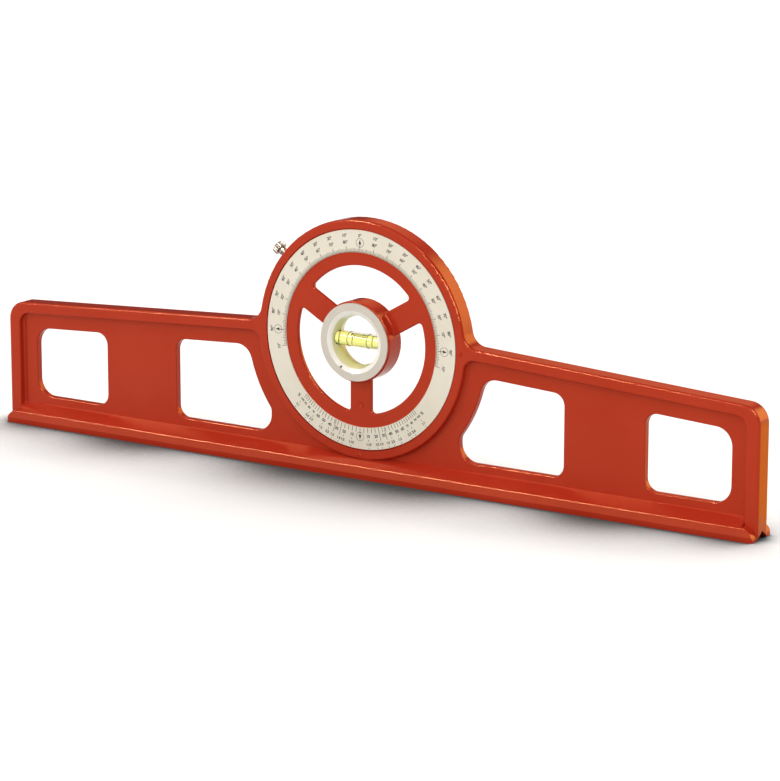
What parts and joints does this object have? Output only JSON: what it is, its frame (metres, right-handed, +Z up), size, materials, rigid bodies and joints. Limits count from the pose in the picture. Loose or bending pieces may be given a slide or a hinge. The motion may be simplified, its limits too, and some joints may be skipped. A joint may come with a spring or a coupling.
{
  "type": "slope level",
  "caption": "Slope level: a cast frame with a V-grooved foot and a ring in which a graduated wheel turns, carries a vial and is held by a clamp screw.",
  "frame": {"origin": "middle of the foot's underside, below the axis of the wheel", "axes": "X along the level with the clamp screw on the -X side, -Y towards the reader of the scale, Z up"},
  "size_m": [0.6, 0.0283, 0.1764],
  "materials": {
    "red_enamel": "gloss",
    "scale_metal": "satin",
    "steel": "satin",
    "plated_steel": "bright",
    "brass": "satin",
    "glide_plastic": "matt",
    "milky_plastic": "translucent",
    "vial_acrylic": "clear",
    "vial_liquid": "clear",
    "bubble_air": "clear",
    "plug_plastic": "matt",
    "line_paint": "matt"
  },
  "bodies": {
    "frame": {"frame": "red_enamel", "glide_ring": "glide_plastic"},
    "wheel": {"dial_wheel": "red_enamel", "scale_ring": "scale_metal", "retaining_ring": "steel", "retaining_screws": "steel", "front_bezel": "milky_plastic", "rear_bezel": "milky_plastic", "bezel_pin": "steel", "vial_tube": "vial_acrylic", "vial_plug_left": "plug_plastic", "vial_plug_right": "plug_plastic", "vial_lines": "line_paint", "vial_fluid": "vial_liquid"},
    "pad": {"clamp_pad": "brass"},
    "clamp": {"clamp_screw": "plated_steel"},
    "bubble": {"bubble": "bubble_air"}
  },
  "joints": [
    {"name": "wheel_turn", "type": "hinge", "parent": "frame", "child": "wheel", "pos_m": [0, 0, 0.0945], "axis": [0, -1, 0], "continuous": true},
    {"name": "pad_slide", "type": "slide", "parent": "frame", "child": "pad", "axis": [-0.788, 0, 0.6157], "range_m": [-0.0003, 0.0014]},
    {"name": "clamp_turn", "type": "hinge", "parent": "pad", "child": "clamp", "pos_m": [-0.06887, 0.0006, 0.14831], "axis": [-0.788, 0, 0.6157], "range_deg": [-155, 721]},
    {"name": "bubble_slide", "type": "slide", "parent": "wheel", "child": "bubble", "axis": [1, 0, 0], "range_m": [-0.0105, 0.0105], "stiffness_N_per_m": 0.5}
  ],
  "couplings": [
    {"joint": "clamp_turn", "follows": "pad_slide", "rad_per_m": 8976}
  ]
}
